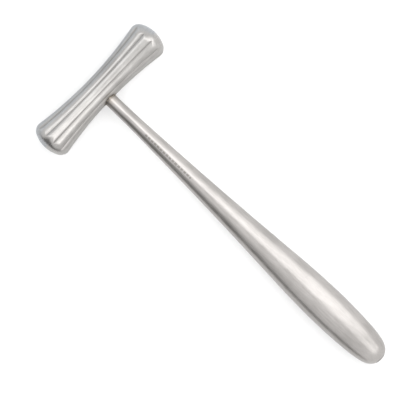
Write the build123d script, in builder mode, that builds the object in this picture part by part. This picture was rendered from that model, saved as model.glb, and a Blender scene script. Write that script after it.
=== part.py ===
from build123d import *
from math import asin, atan2, degrees, sqrt
import os

# A double-faced steel mallet lying on its side. All sizes are in millimetres.
# The handle points along +X, the head's long axis is parallel to Y, +Z is up.
# The origin is on the supporting surface, under the middle of the bounding box.

# Head: a turned bar with a waist, rounded rims and domed striking faces
HEAD_HALF_LENGTH = 47.0
RIM_RADIUS = 12.0
RIM_STATION = 39.5  # distance of the widest ring from the head's middle
RIM_ROUND = 6.0
WAIST_RADIUS = 8.8

# Lengthwise reeds round the head: soft ribs with a valley between each two
REED_COUNT = 11
TOP_REED = 90.0  # one reed's crown is straight up; degrees from the handle's side
CREST_PROUD = 0.004  # share of the radius by which a reed's crown passes the turned skin
VALLEY_DEPTH = 0.055  # share of the radius from the crown down to the valley, at the middle
VALLEY_DEPTH_RIM = 0.075  # and at the widest ring, so that the valleys run well into the rim
LOFT_STEP = 8.0
LOFT_STATIONS = 13

# Handle: a hollow tube, slim at the neck and swelling to a round-ended grip
HANDLE_LENGTH = 230.0  # from the head's axis to the tip
NECK_RADIUS = 4.05
NECK_LENGTH = 15.0  # parallel length, from the head's axis
BULB_RADIUS = 11.55
BULB_STATION = 187.0
WALL = 1.2
TAPER_POINTS = [(45.0, 4.75), (95.0, 6.9), (142.0, 9.65)]  # station, radius
TAIL_POINTS = [(207.0, 10.85), (219.0, 9.6), (226.5, 6.9)]

# Inside: the solid stud in the neck, its sockets, the braze and the tip closure.
# Stations are distances from the head's axis towards the tip.
NECK_SOCKET_FLOOR = 1.0
STUD_FRONT = -5.0
STUD_BACK = 20.0
STUD_RADIUS = NECK_RADIUS - WALL
STUD_CHAMFER = 0.4
BRAZE_WIDTH = 0.35
BRAZE_FLOOR = 6.0
PLUG_RADIUS = 3.5
PLUG_FRONT = 226.0

LEVEL_ENDS = [(1, 0), (1, 0)]  # directions of a curve at its two ends
ROUND_END = [(1, 0), (0, -1)]
TAPER_SPANS = 4
TAIL_SPANS = 5

AXIS_HEIGHT = 11.8664  # the head rests on the two reeds beside its lowest valley
HEAD_X = (RIM_RADIUS - HANDLE_LENGTH) / 2

os.makedirs("parts", exist_ok=True)


def save(piece, name):
    piece.part.label = name
    export_step(piece.part, f"parts/{name}.step")


# Planes: profiles are drawn with x along the turned axis and y as the radius.
head_plane = Plane(origin=(HEAD_X, 0, AXIS_HEIGHT), x_dir=(0, 1, 0), z_dir=(1, 0, 0))
handle_plane = Plane(origin=(HEAD_X, 0, AXIS_HEIGHT), x_dir=(1, 0, 0), z_dir=(0, -1, 0))
head_axis = Axis(head_plane.origin, head_plane.x_dir)
handle_axis = Axis(handle_plane.origin, handle_plane.x_dir)

# The head's outline is three tangent arcs a side: waist, rim and dome.
# The waist arc is level at the middle and touches the rim arc; the dome touches
# the rim arc and crosses the axis squarely at the head's end.
rim_centre_radius = RIM_RADIUS - RIM_ROUND
waist_drop = rim_centre_radius - WAIST_RADIUS
waist_arc = (RIM_STATION**2 + waist_drop**2 - RIM_ROUND**2) / (2 * (waist_drop + RIM_ROUND))
dome_offset = HEAD_HALF_LENGTH - RIM_STATION
dome_arc = (dome_offset**2 + rim_centre_radius**2 - RIM_ROUND**2) / (2 * (dome_offset - RIM_ROUND))
dome_station = HEAD_HALF_LENGTH - dome_arc
waist_turn = degrees(asin(RIM_STATION / (waist_arc + RIM_ROUND)))
dome_turn = degrees(atan2(rim_centre_radius, RIM_STATION - dome_station))
print("waist arc", round(waist_arc, 2), "dome arc", round(dome_arc, 2))


def skin_radius(station):
    """Radius of the waist arc, carried on past the rims."""
    return WAIST_RADIUS + waist_arc - sqrt(waist_arc**2 - station**2)


def reeded_section(station):
    """Closed outline of the reeded bar, square to its axis at a station."""
    crest = skin_radius(station) * (1 + CREST_PROUD)
    depth = VALLEY_DEPTH + (VALLEY_DEPTH_RIM - VALLEY_DEPTH) * (station / RIM_STATION) ** 2
    valley = crest * (1 - depth)
    pitch = 360 / REED_COUNT
    plane = Plane(origin=head_plane.origin + (0, station, 0), x_dir=(1, 0, 0), z_dir=(0, -1, 0))
    with BuildSketch(plane) as section:
        with BuildLine():
            for reed in range(REED_COUNT):
                middle = TOP_REED + pitch * reed
                ThreePointArc(
                    Vector(valley, 0).rotate(Axis.Z, middle - pitch / 2),
                    Vector(crest, 0).rotate(Axis.Z, middle),
                    Vector(valley, 0).rotate(Axis.Z, middle + pitch / 2),
                )
        make_face()
    return section.sketch


with BuildPart() as blank:
    with BuildSketch(head_plane):
        with BuildLine():
            CenterArc((dome_station, 0), dome_arc, 0, dome_turn)
            CenterArc((RIM_STATION, rim_centre_radius), RIM_ROUND, dome_turn, 90 + waist_turn - dome_turn)
            CenterArc((0, WAIST_RADIUS + waist_arc), waist_arc, 270 - waist_turn, 2 * waist_turn)
            CenterArc((-RIM_STATION, rim_centre_radius), RIM_ROUND, 90 - waist_turn, 90 + waist_turn - dome_turn)
            CenterArc((-dome_station, 0), dome_arc, 180 - dome_turn, dome_turn)
            Line((-HEAD_HALF_LENGTH, 0), (HEAD_HALF_LENGTH, 0))
        make_face()
    revolve(axis=head_axis)

with BuildPart() as reeded_blank:
    for index in range(LOFT_STATIONS):
        add(reeded_section((index - LOFT_STATIONS // 2) * LOFT_STEP))
    loft()
    add(blank.part, mode=Mode.INTERSECT)


def bar(front, back, radius):
    """Plain round bar on the handle's axis, between two stations."""
    plane = Plane(origin=(HEAD_X + front, 0, AXIS_HEIGHT), z_dir=(1, 0, 0))
    with BuildPart() as round_bar:
        with BuildSketch(plane):
            Circle(radius)
        extrude(amount=back - front)
    return round_bar.part


def inset_points(curve, spans):
    """Points one wall thickness below a curve, at the ends of equal spans of it."""
    points = []
    for index in range(spans + 1):
        along = curve % (index / spans)
        points.append(curve @ (index / spans) + Vector(along.Y, -along.X) * WALL)
    return points


def handle_half(hollow=False):
    """Upper half of the handle's lengthwise section, from the neck's front end to the tip."""
    inner_radius = STUD_RADIUS if hollow else 0
    neck_front = (NECK_SOCKET_FLOOR, NECK_RADIUS)
    neck_back = (NECK_LENGTH, NECK_RADIUS)
    widest = (BULB_STATION, BULB_RADIUS)
    with BuildSketch(handle_plane) as section:
        with BuildLine():
            Polyline((NECK_SOCKET_FLOOR, inner_radius), neck_front, neck_back)
            taper = Spline(neck_back, *TAPER_POINTS, widest, tangents=LEVEL_ENDS)
            tail = Spline(widest, *TAIL_POINTS, (HANDLE_LENGTH, 0), tangents=ROUND_END)
            if hollow:
                Line((HANDLE_LENGTH, 0), (HANDLE_LENGTH - WALL, 0))
                Spline(*inset_points(tail, TAIL_SPANS), tangents=ROUND_END)
                Spline(*inset_points(taper, TAPER_SPANS), tangents=LEVEL_ENDS)
                Line((NECK_LENGTH, STUD_RADIUS), (NECK_SOCKET_FLOOR, STUD_RADIUS))
            else:
                Line((HANDLE_LENGTH, 0), (NECK_SOCKET_FLOOR, 0))
        make_face()
    return section.sketch


with BuildPart() as handle_blank:
    add(handle_half())
    revolve(axis=handle_axis)

# The head is bored from the handle's side: stud socket, neck socket, braze groove.
with BuildPart() as head:
    add(reeded_blank.part)
    add(bar(STUD_FRONT, NECK_SOCKET_FLOOR, STUD_RADIUS), mode=Mode.SUBTRACT)
    add(bar(NECK_SOCKET_FLOOR, RIM_RADIUS, NECK_RADIUS), mode=Mode.SUBTRACT)
    add(bar(BRAZE_FLOOR, RIM_RADIUS, NECK_RADIUS + BRAZE_WIDTH), mode=Mode.SUBTRACT)
save(head, "head")

# The braze fills the groove round the neck, flush with the reeded skin.
with BuildPart() as braze_ring:
    add(bar(BRAZE_FLOOR, RIM_RADIUS, NECK_RADIUS + BRAZE_WIDTH))
    add(bar(BRAZE_FLOOR, RIM_RADIUS, NECK_RADIUS), mode=Mode.SUBTRACT)
    add(reeded_blank.part, mode=Mode.INTERSECT)
save(braze_ring, "braze_ring")

with BuildPart() as neck_stud:
    add(bar(STUD_FRONT, STUD_BACK, STUD_RADIUS))
    chamfer(neck_stud.edges(), length=STUD_CHAMFER)
save(neck_stud, "neck_stud")

# The shell has one wall thickness all the way. Its neck is open at the front and
# its tip is bored for the plug.
with BuildPart() as handle_shell:
    add(handle_half(hollow=True))
    revolve(axis=handle_axis)
    add(bar(PLUG_FRONT, HANDLE_LENGTH + WALL, PLUG_RADIUS), mode=Mode.SUBTRACT)
save(handle_shell, "handle_shell")

with BuildPart() as end_plug:
    add(bar(PLUG_FRONT, HANDLE_LENGTH + WALL, PLUG_RADIUS))
    add(handle_blank.part, mode=Mode.INTERSECT)
save(end_plug, "end_plug")
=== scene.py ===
import math

import bpy
import numpy as np
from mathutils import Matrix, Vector


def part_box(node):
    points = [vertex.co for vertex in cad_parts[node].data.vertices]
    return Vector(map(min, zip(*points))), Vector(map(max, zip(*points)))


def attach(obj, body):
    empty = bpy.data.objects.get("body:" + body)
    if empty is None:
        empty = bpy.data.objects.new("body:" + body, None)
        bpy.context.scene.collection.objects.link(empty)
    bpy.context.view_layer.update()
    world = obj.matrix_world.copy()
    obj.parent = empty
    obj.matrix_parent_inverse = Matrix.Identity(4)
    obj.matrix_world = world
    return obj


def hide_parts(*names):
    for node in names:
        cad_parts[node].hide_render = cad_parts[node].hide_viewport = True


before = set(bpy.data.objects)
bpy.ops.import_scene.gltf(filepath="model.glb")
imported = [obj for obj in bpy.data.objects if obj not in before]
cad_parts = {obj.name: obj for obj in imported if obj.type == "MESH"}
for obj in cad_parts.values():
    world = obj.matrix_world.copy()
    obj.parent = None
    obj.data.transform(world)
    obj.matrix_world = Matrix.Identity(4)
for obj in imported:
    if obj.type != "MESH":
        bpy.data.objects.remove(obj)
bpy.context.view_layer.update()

# Everything is in metres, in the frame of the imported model: +X along the handle
# from the head to the tip, +Y along the head, +Z up from the floor.
MM = 0.001

# ---------------------------------------------------------------- object sizes
head_low, head_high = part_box("head")
shell_low, shell_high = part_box("handle_shell")
ring_low, ring_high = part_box("braze_ring")
stud_low, stud_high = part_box("neck_stud")
plug_low, plug_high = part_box("end_plug")

HEAD_X = (head_low.x + head_high.x) / 2
AXIS_Z = (shell_low.z + shell_high.z) / 2
HALF_LENGTH = (head_high.y - head_low.y) / 2
RIM_RADIUS = head_high.z - AXIS_Z
RIM_STATION = 39.5 * MM
RIM_ROUND = 6.0 * MM
WAIST_RADIUS = 8.8 * MM
REED_COUNT = 11  # one crown is straight up
CREST_PROUD = 0.004
VALLEY_DEPTH = 0.055  # share of the radius, at the middle of the head
VALLEY_DEPTH_RIM = 0.075  # and at the rims
CREST_BLEND = 0.06 * MM  # softens the edge where a reed meets the turned skin

NECK_RADIUS = 4.05 * MM
STUD_RADIUS = (stud_high.z - stud_low.z) / 2
BRAZE_RADIUS = (ring_high.z - ring_low.z) / 2
BRAZE_FILLET = 0.35 * MM  # how far the braze climbs the neck
PLUG_RADIUS = (plug_high.z - plug_low.z) / 2
SEAM_BEVEL = 0.18 * MM  # chamfer on each side of the seam round the plug
SEAM_SLOPE = 0.6  # depth of that chamfer as a share of its width

# How finely the curved pieces are divided
DOME_STEPS, RIM_STEPS, WAIST_STEPS = 18, 56, 60
REED_STEPS = 24  # round the head, for each reed
BORE_SEGMENTS = 96
BRAZE_SEGMENTS, FILLET_STEPS = 160, 7
HANDLE_SEGMENTS, OUTSIDE_POINTS, INSIDE_POINTS = 144, 480, 240
PLUG_SEGMENTS, PLUG_POINTS = 96, 26

# The head's outline: waist arc, rim arc and dome arc, each tangent to the next
rim_centre = RIM_RADIUS - RIM_ROUND
waist_drop = rim_centre - WAIST_RADIUS
WAIST_ARC = (RIM_STATION**2 + waist_drop**2 - RIM_ROUND**2) / (2 * (waist_drop + RIM_ROUND))
dome_offset = HALF_LENGTH - RIM_STATION
DOME_ARC = (dome_offset**2 + rim_centre**2 - RIM_ROUND**2) / (2 * (dome_offset - RIM_ROUND))
DOME_STATION = HALF_LENGTH - DOME_ARC
WAIST_TURN = math.asin(RIM_STATION / (WAIST_ARC + RIM_ROUND))
DOME_TURN = math.atan2(rim_centre, RIM_STATION - DOME_STATION)


# ------------------------------------------------------------------ mesh tools
def mesh_object(name, vertices, faces, slot=None, stands_for=None):
    """A smooth mesh; with a slot it is a piece of the object, which may stand for a CAD node."""
    mesh = bpy.data.meshes.new(name)
    mesh.from_pydata([tuple(v) for v in vertices], [], faces)
    mesh.validate()
    mesh.shade_smooth()
    piece = bpy.data.objects.new(name, mesh)
    bpy.context.scene.collection.objects.link(piece)
    if slot:
        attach(piece, "root")
    if stands_for:
        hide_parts(stands_for)
    return piece


def grid_faces(rows, columns, closed_rows=False):
    """Quads of a grid whose columns wrap round, and whose rows may too."""
    faces = []
    last = rows if closed_rows else rows - 1
    for i in range(last):
        for j in range(columns):
            a, b = i * columns, ((i + 1) % rows) * columns
            k = (j + 1) % columns
            faces.append((a + j, a + k, b + k, b + j))
    return faces


def turned(points, segments):
    """Rings of vertices: points of (x, radius) turned about the handle's axis."""
    turns = np.linspace(0, 2 * math.pi, segments, endpoint=False)
    return [(x, r * math.cos(t), AXIS_Z + r * math.sin(t)) for x, r in points for t in turns]


def lathe(name, outline, segments, **where):
    """Closed ring-shaped solid: the outline turned about the handle's axis."""
    faces = grid_faces(len(outline), segments, closed_rows=True)
    return mesh_object(name, turned(outline, segments), faces, **where)


def round_disc(name, outline, segments, **where):
    """Closed solid of revolution whose outline starts and ends on the handle's axis."""
    inner = outline[1:-1]
    vertices = turned(inner, segments)
    faces = grid_faces(len(inner), segments)
    first, last = len(vertices), len(vertices) + 1
    vertices += [(outline[0][0], 0, AXIS_Z), (outline[-1][0], 0, AXIS_Z)]
    start = (len(inner) - 1) * segments
    for j in range(segments):
        k = (j + 1) % segments
        faces.append((first, k, j))
        faces.append((last, start + j, start + k))
    return mesh_object(name, vertices, faces, **where)


def crisp(piece, degrees=35):
    """Keeps edges sharper than this from being shaded as if they were round."""
    piece.data.set_sharp_from_angle(angle=math.radians(degrees))


# ------------------------------------------------------------------------ head
def skin_outline():
    """Points (station, radius) of the smooth head from one face's centre to the other's."""
    quarter = []
    for t in np.linspace(0, DOME_TURN, DOME_STEPS, endpoint=False):
        quarter.append((DOME_STATION + DOME_ARC * math.cos(t), DOME_ARC * math.sin(t)))
    for t in np.linspace(DOME_TURN, math.pi / 2 + WAIST_TURN, RIM_STEPS, endpoint=False):
        station = RIM_STATION + RIM_ROUND * math.cos(t)
        quarter.append((station, rim_centre + RIM_ROUND * math.sin(t)))
    for t in np.linspace(WAIST_TURN, 0, WAIST_STEPS, endpoint=False):
        quarter.append((WAIST_ARC * math.sin(t), WAIST_RADIUS + WAIST_ARC * (1 - math.cos(t))))
    return quarter + [(0, WAIST_RADIUS)] + [(-y, r) for y, r in reversed(quarter)]


def reed_radius(station, turn):
    """Radius of the reeded bar at a station, at angles from a reed's crown."""
    crest = (WAIST_RADIUS + WAIST_ARC - math.sqrt(WAIST_ARC**2 - station**2)) * (1 + CREST_PROUD)
    deeper = (VALLEY_DEPTH_RIM - VALLEY_DEPTH) * (station / RIM_STATION) ** 2
    valley = crest * (1 - VALLEY_DEPTH - deeper)
    half_pitch = math.pi / REED_COUNT
    # each reed is one circular arc through both valleys and the crown
    vx, vy = valley * math.cos(half_pitch), valley * math.sin(half_pitch)
    reed_arc = ((crest - vx) ** 2 + vy**2) / (2 * (crest - vx))
    centre = crest - reed_arc
    local = (turn + half_pitch) % (2 * half_pitch) - half_pitch
    return centre * np.cos(local) + np.sqrt(reed_arc**2 - (centre * np.sin(local)) ** 2)


def make_head():
    columns = REED_COUNT * REED_STEPS
    turns = np.linspace(0, 2 * math.pi, columns, endpoint=False)
    outline = skin_outline()
    vertices = []
    for station, skin in outline[1:-1]:
        reeds = reed_radius(station, turns)
        radii = reeds - CREST_BLEND * np.log(np.exp((reeds - skin) / CREST_BLEND) + 1)
        for turn, radius in zip(turns, radii):
            along, above = radius * math.sin(turn), radius * math.cos(turn)
            vertices.append((HEAD_X + along, station, AXIS_Z + above))
    rows = len(outline) - 2
    faces = grid_faces(rows, columns)
    near, far = len(vertices), len(vertices) + 1
    vertices += [(HEAD_X, outline[0][0], AXIS_Z), (HEAD_X, outline[-1][0], AXIS_Z)]
    start = (rows - 1) * columns
    for j in range(columns):
        k = (j + 1) % columns
        faces.append((near, k, j))
        faces.append((far, start + j, start + k))
    return mesh_object("head_reeded", vertices, faces, slot="head_steel", stands_for="head")


def bore_head(head):
    """Cuts the stepped socket for the stud, the neck and the braze ring."""
    steps = [
        (stud_low.x, 0),
        (stud_low.x, STUD_RADIUS),
        (shell_low.x, STUD_RADIUS),
        (shell_low.x, NECK_RADIUS),
        (ring_low.x, NECK_RADIUS),
        (ring_low.x, BRAZE_RADIUS),
        (HEAD_X + RIM_RADIUS, BRAZE_RADIUS),
        (HEAD_X + RIM_RADIUS, 0),
    ]
    cutter = round_disc("socket_cutter", steps, BORE_SEGMENTS)
    cut = head.modifiers.new("socket", "BOOLEAN")
    cut.operation = "DIFFERENCE"
    cut.solver = "EXACT"
    cut.object = cutter
    graph = bpy.context.evaluated_depsgraph_get()
    graph.update()
    bored = bpy.data.meshes.new_from_object(head.evaluated_get(graph))
    head.modifiers.clear()
    head.data = bored
    bpy.data.objects.remove(cutter)
    bored.shade_smooth()
    crisp(head)


# ----------------------------------------------------------------- braze fillet
def head_reach(y, z):
    """How far the reeded side stands out towards the handle, at y and at z above the axis."""
    reach = WAIST_RADIUS
    for _ in range(12):
        turn = math.atan2(reach, z)
        radius = float(reed_radius(y, np.array([turn]))[0])
        reach = math.sqrt(max(radius**2 - z**2, 0))
    return reach


def make_braze():
    """The braze in its groove, with a small hollow fillet between the neck and the head."""
    edge = BRAZE_RADIUS - 0.02 * MM  # a hair inside the groove's wall
    vertices = []
    for t in np.linspace(0, 2 * math.pi, BRAZE_SEGMENTS, endpoint=False):
        across, above = math.cos(t), math.sin(t)
        surface = HEAD_X + head_reach(edge * across, edge * above)
        ring = [(ring_low.x, edge), (ring_low.x, NECK_RADIUS)]
        for bend in np.linspace(math.pi / 2, 0, FILLET_STEPS):
            # a hollow quarter from the neck down to the head's skin
            radius = NECK_RADIUS + (edge - NECK_RADIUS) * (1 - math.sin(bend))
            ring.append((surface + BRAZE_FILLET * (1 - math.cos(bend)), radius))
        vertices += [(x, r * across, AXIS_Z + r * above) for x, r in ring]
    faces = grid_faces(BRAZE_SEGMENTS, FILLET_STEPS + 2, closed_rows=True)
    braze = mesh_object("braze_fillet", vertices, faces, slot="braze", stands_for="braze_ring")
    crisp(braze, 50)
    return braze


# ---------------------------------------------------------------------- handle
def cad_outline(node, outside=True):
    """Points (x, radius) of a turned CAD node's outer or inner surface, in order of x."""
    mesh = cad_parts[node].data
    points = {}
    for face in mesh.polygons:
        centre = Vector((0, face.center.y, face.center.z - AXIS_Z))
        if (centre.dot(face.normal) > 0) == outside and abs(face.normal.x) < 0.9995:
            for index in face.vertices:
                x, y, z = mesh.vertices[index].co
                points[round(x, 7)] = math.hypot(y, z - AXIS_Z)
    return np.array(sorted(points.items()))


def even_points(outline, count):
    """The outline sampled again at even steps of its length."""
    steps = np.hypot(*np.diff(outline, axis=0).T)
    length = np.concatenate([[0], np.cumsum(steps)])
    wanted = np.linspace(0, length[-1], count)
    x, radius = (np.interp(wanted, length, outline[:, k]) for k in (0, 1))
    return list(zip(x, radius))


def make_handle():
    """The thin tube: its outside, the bevelled bore at the tip, and its inside back to the neck."""
    outside = cad_outline("handle_shell")
    outside = outside[(outside[:, 1] > PLUG_RADIUS + SEAM_BEVEL) | (outside[:, 0] < plug_low.x)]
    inside = cad_outline("handle_shell", outside=False)
    inside = inside[inside[:, 0] < plug_low.x + MM]
    lip = outside[-1][0]
    bore = [(lip - SEAM_SLOPE * SEAM_BEVEL, PLUG_RADIUS), (plug_low.x + 1.5 * MM, PLUG_RADIUS)]
    inwards = even_points(inside, INSIDE_POINTS)[::-1]
    outline = even_points(outside, OUTSIDE_POINTS) + bore + inwards
    where = {"slot": "handle_steel", "stands_for": "handle_shell"}
    tube = lathe("handle_tube", outline, HANDLE_SEGMENTS, **where)
    crisp(tube)
    return tube


def make_plug():
    """Closure of the hollow grip, its face following the rounded tip, with a bevelled edge."""
    face = cad_outline("end_plug")
    face = face[(face[:, 0] > plug_low.x + MM) & (face[:, 1] < PLUG_RADIUS - SEAM_BEVEL)]
    rounded = [p for p in even_points(face, PLUG_POINTS) if p[1] > 0.05 * MM]
    edge_x = rounded[0][0] - SEAM_SLOPE * SEAM_BEVEL
    outline = [(plug_low.x, 0), (plug_low.x, PLUG_RADIUS), (edge_x, PLUG_RADIUS)]
    outline += rounded + [(plug_high.x, 0)]
    where = {"slot": "handle_steel", "stands_for": "end_plug"}
    plug = round_disc("tip_plug", outline, PLUG_SEGMENTS, **where)
    crisp(plug)
    return plug


head = make_head()
bore_head(head)
braze = make_braze()
handle = make_handle()
plug = make_plug()
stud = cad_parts["neck_stud"]


# ------------------------------------------------------------------- materials
class Finish:
    """A metal made of nodes, with short ways to add them, worked out from places on the object."""

    def __init__(self, name):
        self.material = bpy.data.materials.new(name)
        self.material.use_nodes = True
        self.tree = self.material.node_tree
        self.shader = self.tree.nodes["Principled BSDF"]
        self.shader.inputs["Metallic"].default_value = 1.0
        self.place = self.add("TexCoord").outputs["Object"]
        self.x, self.y, self.z = self.add("SeparateXYZ", Vector=self.place).outputs

    def add(self, kind, settings=None, **inputs):
        node = self.tree.nodes.new("ShaderNode" + kind)
        for key, value in (settings or {}).items():
            setattr(node, key, value)
        for key, value in inputs.items():
            self.feed(node.inputs[key.replace("_", " ")], value)
        return node

    def feed(self, socket, value):
        if isinstance(value, bpy.types.NodeSocket):
            self.tree.links.new(value, socket)
        else:
            socket.default_value = value

    def maths(self, operation, *values):
        node = self.add("Math", {"operation": operation})
        for socket, value in zip(node.inputs, values):
            self.feed(socket, value)
        return node.outputs[0]

    def plus(self, a, b):
        return self.maths("ADD", a, b)

    def minus(self, a, b):
        return self.maths("SUBTRACT", a, b)

    def times(self, *values):
        product = values[0]
        for value in values[1:]:
            product = self.maths("MULTIPLY", product, value)
        return product

    def reach(self, a, b):
        """Distance from an axis, from the two distances square to it."""
        return self.maths("SQRT", self.plus(self.times(a, a), self.times(b, b)))

    def step(self, value, low, high, start=0.0, end=1.0):
        """Goes smoothly from start to end while the value goes from low to high."""
        node = self.add("MapRange", {"interpolation_type": "SMOOTHSTEP"}, Value=value)
        ends = {"From Min": low, "From Max": high, "To Min": start, "To Max": end}
        for key, number in ends.items():
            node.inputs[key].default_value = number
        return node.outputs[0]

    def spread(self, cells, shift=0.0):
        """The place, with this many units a metre along x, y and z."""
        node = self.add("VectorMath", {"operation": "MULTIPLY_ADD"})
        aside = (shift, shift * 1.7, shift * 0.6)
        for socket, value in zip(node.inputs, (self.place, cells, aside)):
            self.feed(socket, value)
        return node.outputs[0]

    def noise(self, cells, detail=2.0, shift=0.0, roughness=0.5):
        settings = {"Scale": 1.0, "Detail": detail, "Roughness": roughness}
        return self.add("TexNoise", Vector=self.spread(cells, shift), **settings).outputs[0]

    def mix(self, share, a, b):
        node = self.add("Mix", {"data_type": "RGBA"})
        for socket, value in zip((node.inputs[0], node.inputs[6], node.inputs[7]), (share, a, b)):
            self.feed(socket, value)
        return node.outputs[2]

    def bump(self, height, distance, strength=1.0, under=None):
        node = self.add("Bump", Height=height, Distance=distance, Strength=strength)
        if under:
            self.feed(node.inputs["Normal"], under)
        return node.outputs[0]

    def finish(self, colour, roughness, normal):
        self.feed(self.shader.inputs["Base Color"], colour)
        self.feed(self.shader.inputs["Roughness"], roughness)
        self.feed(self.shader.inputs["Normal"], normal)
        return self.material


# Clouded between these two: the head, then the handle and its plug
STEEL_LIGHT = (0.509, 0.496, 0.481, 1)
STEEL_DARK = (0.392, 0.379, 0.366, 1)
GRIP_LIGHT = (0.530, 0.507, 0.490, 1)
GRIP_DARK = (0.409, 0.391, 0.376, 1)
STRAW = (0.40, 0.345, 0.28, 1)  # oxide left by the brazing heat
SOOT_AND_SHADE = (0.10, 0.090, 0.080, 1)  # grime and burnt flux, and the painted shade in the valleys and creases
BRAZE_WARM = (0.40, 0.345, 0.27, 1)


def satin(look, brushing, dark=STEEL_DARK, light=STEEL_LIGHT):
    """Clouding, brushed streaks and fine grain of the steels: colour, roughness and height."""
    clouds = look.noise((55, 55, 55), detail=3.0)
    streaks = look.noise(brushing, detail=3.0, roughness=0.65)
    grain = look.noise((2600, 2600, 2600), detail=1.0, shift=3.0)
    tone = look.times(look.plus(clouds, streaks), 0.5)
    colour = look.mix(look.step(tone, 0.3, 0.7), dark, light)
    roughness = look.plus(look.step(clouds, 0.3, 0.7, 0.26, 0.30), look.times(streaks, 0.06))
    return colour, roughness, look.plus(streaks, look.times(grain, 0.35))


def scuffs(look, cells, shift):
    """Sparse hairline marks: 1 on a mark, 0 elsewhere."""
    where = look.spread(cells)
    wobble = look.add("TexNoise", Vector=where, Scale=0.7)
    bent = look.add("VectorMath", {"operation": "ADD"})
    look.feed(bent.inputs[0], where)
    look.feed(bent.inputs[1], wobble.outputs["Color"])
    lines = look.add("TexVoronoi", {"feature": "DISTANCE_TO_EDGE"}, Vector=bent.outputs[0], Scale=1.0)
    hair = look.step(lines.outputs["Distance"], 0.0, 0.035, 1.0, 0.0)
    patches = look.step(look.noise((90, 90, 90), shift=shift), 0.52, 0.62)
    return look.times(hair, patches)


def head_finish():
    look = Finish("head_satin_steel")
    colour, roughness, height = satin(look, (1100, 130, 1100))
    station = look.maths("ABSOLUTE", look.y)
    above = look.minus(look.z, AXIS_Z)
    # the striking faces are worn smoother, with small knocks
    face = look.step(station, 41 * MM, 45 * MM)
    knocks = look.times(look.step(look.noise((420, 420, 420), shift=8.0), 0.60, 0.72), face)
    roughness = look.minus(roughness, look.times(face, 0.05))
    roughness = look.plus(roughness, look.times(knocks, 0.10))
    marks = scuffs(look, (260, 150, 260), 5.0)
    colour = look.mix(look.times(marks, 0.35), colour, STEEL_DARK)
    # painted shade lies dark in the valleys between the reeds and ends at the rims,
    # lighter on the handle's side
    along = look.minus(look.x, HEAD_X)
    reeds = look.maths("DIVIDE", look.maths("ARCTAN2", along, above), 2 * math.pi / REED_COUNT)
    # 0 on a reed's crown and 0.5 in the valley; the whole number only keeps it above zero
    phase = look.maths("FRACT", look.plus(reeds, 50.5))
    off_crown = look.maths("ABSOLUTE", look.minus(phase, 0.5))
    valley_shade = look.times(
        look.step(off_crown, 0.32, 0.49),
        look.step(station, 40.5 * MM, 42.0 * MM, 1.0, 0.0),
    )
    valley_shade = look.times(valley_shade, look.step(along, 3.6 * MM, 6 * MM, 0.42, 0.22))
    # painted shade: the valleys are mixed towards the soot colour
    colour = look.mix(valley_shade, colour, SOOT_AND_SHADE)
    # heat colour round the neck's socket, and painted shade in the crease next to it
    off_axis = look.reach(look.y, above)
    handle_side = look.step(look.x, HEAD_X + 4 * MM, HEAD_X + 6 * MM)
    uneven = look.step(look.noise((500, 500, 500), shift=2.0), 0.3, 0.7, 0.5, 1.0)
    warm = look.times(look.step(off_axis, 4.3 * MM, 8.5 * MM, 1.0, 0.0), handle_side, uneven)
    colour = look.mix(look.times(warm, 0.3), colour, STRAW)
    # painted shade: darkening in the crease round the socket
    joint_shade = look.times(look.step(off_axis, 4.5 * MM, 6.0 * MM, 1.0, 0.0), handle_side)
    colour = look.mix(look.times(joint_shade, 0.6), colour, SOOT_AND_SHADE)
    normal = look.bump(look.minus(height, look.times(marks, 0.5)), 0.012 * MM)
    normal = look.bump(knocks, 0.05 * MM, 0.6, normal)
    return look.finish(colour, roughness, normal)


def handle_finish():
    look = Finish("handle_satin_steel")
    colour, roughness, height = satin(look, (110, 1100, 1100), GRIP_DARK, GRIP_LIGHT)
    marks = scuffs(look, (120, 280, 280), 1.0)
    colour = look.mix(look.times(marks, 0.35), colour, STEEL_DARK)
    # duller smudges where the grip is held
    held = look.step(look.x, HEAD_X + 95 * MM, HEAD_X + 150 * MM)
    smudge = look.step(look.noise((95, 95, 95), detail=3.0, shift=6.0), 0.45, 0.65)
    roughness = look.plus(roughness, look.times(smudge, held, 0.04))
    # heat colour at the head's end of the neck, and painted shade in the crease where it meets the head
    along = look.minus(look.x, HEAD_X + WAIST_RADIUS)
    uneven = look.step(look.noise((500, 500, 500), shift=4.0), 0.3, 0.7, 0.4, 1.0)
    warm = look.times(look.step(along, 0.0, 5 * MM, 1.0, 0.0), uneven)
    colour = look.mix(look.times(warm, 0.5), colour, STRAW)
    # painted shade: darkening in the crease where the neck meets the head
    joint_shade = look.step(along, -0.1 * MM, 0.75 * MM, 1.0, 0.0)
    colour = look.mix(look.times(joint_shade, 0.5), colour, SOOT_AND_SHADE)
    # a frosted row of equal dashes on the upper side of the shank
    etched = etched_dashes(look)
    colour = look.mix(look.times(etched, 0.62), colour, SOOT_AND_SHADE)
    roughness = look.plus(roughness, look.times(etched, 0.15))
    normal = look.bump(look.minus(height, look.times(marks, 0.5)), 0.012 * MM)
    normal = look.bump(look.times(etched, -1.0), 0.02 * MM, 0.6, normal)
    return look.finish(colour, roughness, normal)


DASH_FRONT, DASH_BACK = 38 * MM, 75 * MM  # stations from the head's axis
DASH_PITCH = 2.4 * MM
DASH_LENGTH = 1.6 * MM
DASH_HEIGHT = 1.1 * MM
DASH_OFFSET = -0.75 * MM  # middle of the row, along y


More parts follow.
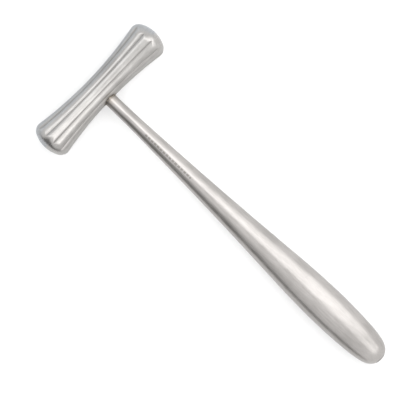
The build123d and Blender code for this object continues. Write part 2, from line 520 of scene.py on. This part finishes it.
def etched_dashes(look):
    """1 on a plain row of equal etched dashes, 0 elsewhere."""
    soft = 0.12 * MM
    station = look.minus(look.x, HEAD_X + DASH_FRONT)
    phase = look.maths("FLOORED_MODULO", station, DASH_PITCH)
    dash = look.step(phase, DASH_LENGTH, DASH_LENGTH + soft, 1.0, 0.0)
    off_row = look.maths("ABSOLUTE", look.minus(look.y, DASH_OFFSET))
    row = look.step(off_row, DASH_HEIGHT / 2, DASH_HEIGHT / 2 + soft, 1.0, 0.0)
    begins = look.step(station, -soft, 0.0)
    ends = look.step(station, DASH_BACK - DASH_FRONT, DASH_BACK - DASH_FRONT + soft, 1.0, 0.0)
    top = look.step(look.z, AXIS_Z, AXIS_Z + MM)
    bitten = look.step(look.noise((2200, 2200, 2200), shift=9.0), 0.3, 0.6, 0.45, 1.0)
    return look.times(dash, row, begins, ends, top, bitten)


def plug_finish():
    look = Finish("plug_turned_steel")
    colour, roughness, height = satin(look, (700, 700, 700), GRIP_DARK, GRIP_LIGHT)
    off_axis = look.reach(look.y, look.minus(look.z, AXIS_Z))
    # rings left by facing the plug flush
    rings = look.maths("SINE", look.times(off_axis, 2 * math.pi / (0.25 * MM)))
    seam = look.step(off_axis, PLUG_RADIUS - 0.45 * MM, PLUG_RADIUS - 0.1 * MM)
    colour = look.mix(look.times(seam, 0.6), colour, SOOT_AND_SHADE)
    normal = look.bump(look.plus(height, look.times(rings, 0.3)), 0.012 * MM)
    return look.finish(colour, roughness, normal)


def braze_finish():
    look = Finish("braze_metal")
    spots = look.noise((900, 900, 900), detail=3.0)
    colour = look.mix(look.step(spots, 0.42, 0.62), SOOT_AND_SHADE, BRAZE_WARM)
    return look.finish(colour, look.step(spots, 0.3, 0.7, 0.55, 0.36), look.bump(spots, 0.03 * MM))


def stud_finish():
    look = Finish("stud_turned_steel")
    rings = look.maths("SINE", look.times(look.x, 2 * math.pi / (0.3 * MM)))
    spots = look.noise((600, 600, 600))
    colour = look.mix(spots, STEEL_DARK, STEEL_LIGHT)
    height = look.plus(look.times(rings, 0.5), spots)
    roughness = look.step(spots, 0.3, 0.7, 0.36, 0.46)
    return look.finish(colour, roughness, look.bump(height, 0.015 * MM))


for piece, finish in (
    (head, head_finish()),
    (handle, handle_finish()),
    (plug, plug_finish()),
    (braze, braze_finish()),
    (stud, stud_finish()),
):
    piece.data.materials.clear()
    piece.data.materials.append(finish)

# ---------------------------------------------------------------------- camera
# The camera looks straight down from about 1.2 m, turned so that the handle
# points to the lower right.
HANDLE_DROP = math.radians(43.8)  # how far the handle points below the picture's right
VIEW_X = HEAD_X + 94.4 * MM
VIEW_Y = -6.3 * MM
VIEW_HEIGHT = 1.2
FRAME_WIDTH = 245.4 * MM

camera_data = bpy.data.cameras.new("camera")
camera = bpy.data.objects.new("camera", camera_data)
bpy.context.scene.collection.objects.link(camera)
bpy.context.scene.camera = camera
camera.location = (VIEW_X, VIEW_Y, AXIS_Z + VIEW_HEIGHT)
camera.rotation_euler = (0, 0, HANDLE_DROP)
camera_data.sensor_width = 36
camera_data.lens = 36 * VIEW_HEIGHT / FRAME_WIDTH
camera_data.clip_end = 20

# ----------------------------------------------------------------------- stage
bpy.context.scene.view_settings.view_transform = "Standard"
# the picture's right and its top, on the floor
RIGHT = Vector((math.cos(HANDLE_DROP), math.sin(HANDLE_DROP), 0))
UP = Vector((-math.sin(HANDLE_DROP), math.cos(HANDLE_DROP), 0))
SKY = Vector((0, 0, 1))


def place(right, up, height):
    """A point by how far right, up and above the floor it is from the middle of the picture."""
    return Vector((VIEW_X, VIEW_Y, 0)) + RIGHT * right + UP * up + SKY * height


def softbox(name, centre, width, depth, turn, radiance, colour=(1, 1, 1)):
    """Level area light facing down, its width turned anticlockwise from the picture's right."""
    data = bpy.data.lights.new(name, "AREA")
    data.shape = "RECTANGLE"
    data.size, data.size_y = width, depth
    data.energy = radiance * math.pi * width * depth
    data.color = colour
    data.use_shadow = False
    lamp = bpy.data.objects.new(name, data)
    bpy.context.scene.collection.objects.link(lamp)
    lamp.location = centre
    lamp.rotation_euler = (0, 0, HANDLE_DROP + math.radians(turn))
    lamp.visible_camera = False
    return lamp


# the key lamps make the handle's long highlight, which drifts outwards towards the grip
softbox("key", place(0.305, 0.195, 0.38), width=0.68, depth=0.33, turn=27, radiance=1.19)
softbox("key_near", place(-0.04, 0.135, 0.36), width=0.09, depth=0.09, turn=0, radiance=1.45)
softbox("key_end", place(0.80, 0.62, 0.38), width=0.80, depth=0.34, turn=40, radiance=1.2)
softbox("side", place(0.66, -0.02, 0.38), width=0.36, depth=0.24, turn=0, radiance=1.1)
cool = (0.95, 0.98, 1)
softbox("overhead", place(-0.38, 0.32, 0.68), width=0.50, depth=0.40, turn=0, radiance=1.3, colour=cool)
softbox("far", place(0.747, -0.457, 1.0), width=0.96, depth=0.65, turn=-44, radiance=1.0)
softbox("rear", place(-0.22, -0.25, 0.6), width=0.35, depth=0.30, turn=0, radiance=0.3)
# whitens the floor round the object without showing in the metal
fill = softbox("floor_fill", place(0, 0, 1.5), width=1.6, depth=1.6, turn=0, radiance=1.0)
fill.visible_glossy = False

world = bpy.data.worlds.new("studio")
bpy.context.scene.world = world
world.use_nodes = True
world.node_tree.nodes["Background"].inputs["Color"].default_value = (1, 1, 1, 1)
world.node_tree.nodes["Background"].inputs["Strength"].default_value = 1.0


def board(name, tone, *corners):
    """Flat board that only the metal sees."""
    card = mesh_object(name, corners, [tuple(range(len(corners)))])
    paint = bpy.data.materials.new(name)
    paint.use_nodes = True
    paint.node_tree.nodes["Principled BSDF"].inputs["Base Color"].default_value = (*tone, 1)
    paint.node_tree.nodes["Principled BSDF"].inputs["Roughness"].default_value = 0.9
    card.data.materials.append(paint)
    card.visible_camera = False
    card.visible_diffuse = False
    card.visible_shadow = False
    return card


def floor_board(name, tone, height, *corners):
    """Board lying on the floor; its corners are measured from the head's axis, as x and y."""
    return board(name, tone, *(Vector((HEAD_X + x, y, height)) for x, y in corners))


def wall(name, tone, start, end, *top):
    """Upright board from start to end; its top's corners are (share of the way, height)."""
    start, end = (Vector((HEAD_X + x, y, 0.002)) for x, y in (start, end))
    edge = (start.lerp(end, share) + SKY * height for share, height in top)
    return board(name, tone, start, end, *edge)


# The metal sees a dark wall and a dark patch of floor beyond the head's lower left end, a
# cool wall and floor to the upper left, and elsewhere a floor a little darker than the paint
DARK = (0.16, 0.16, 0.16)
COOL_WALL, COOL_FLOOR = (0.86, 0.91, 0.97), (0.545, 0.575, 0.61)
GREY_FLOOR = (0.62, 0.62, 0.62)
LIES, COVERS = 0.0005, 0.001  # heights of the boards on the floor, the dark one on top

wall("flag", DARK, (-0.17, -0.40), (0.35, -0.40), (1, 0.02), (0.62, 0.045), (0, 0.85))
dark_corners = (-0.12, -0.105), (-0.17, -0.39), (0.35, -0.39), (0.26, -0.052)
floor_board("dark_floor", DARK, COVERS, *dark_corners)
wall("cool_wall", COOL_WALL, (-0.35, 0.5), (-0.35, -0.35), (1, 0.10), (0, 0.10))
cool_corners = (-0.4, -0.35), (0, -0.35), (0, 0.5), (-0.4, 0.5)
floor_board("cool_floor", COOL_FLOOR, LIES, *cool_corners)
floor_board("warm_floor", GREY_FLOOR, LIES, (0, -0.5), (0.6, -0.5), (0.6, 0.5), (0, 0.5))

FLOOR_HALF = 4.0
corners = [(-1, -1), (1, -1), (1, 1), (-1, 1)]
corners = [(x * FLOOR_HALF, y * FLOOR_HALF, 0) for x, y in corners]
floor = mesh_object("floor", corners, [(0, 1, 2, 3)])
paint = bpy.data.materials.new("floor_paint")
paint.use_nodes = True
paint.node_tree.nodes["Principled BSDF"].inputs["Base Color"].default_value = (0.80, 0.80, 0.80, 1)
paint.node_tree.nodes["Principled BSDF"].inputs["Roughness"].default_value = 0.9
floor.data.materials.append(paint)
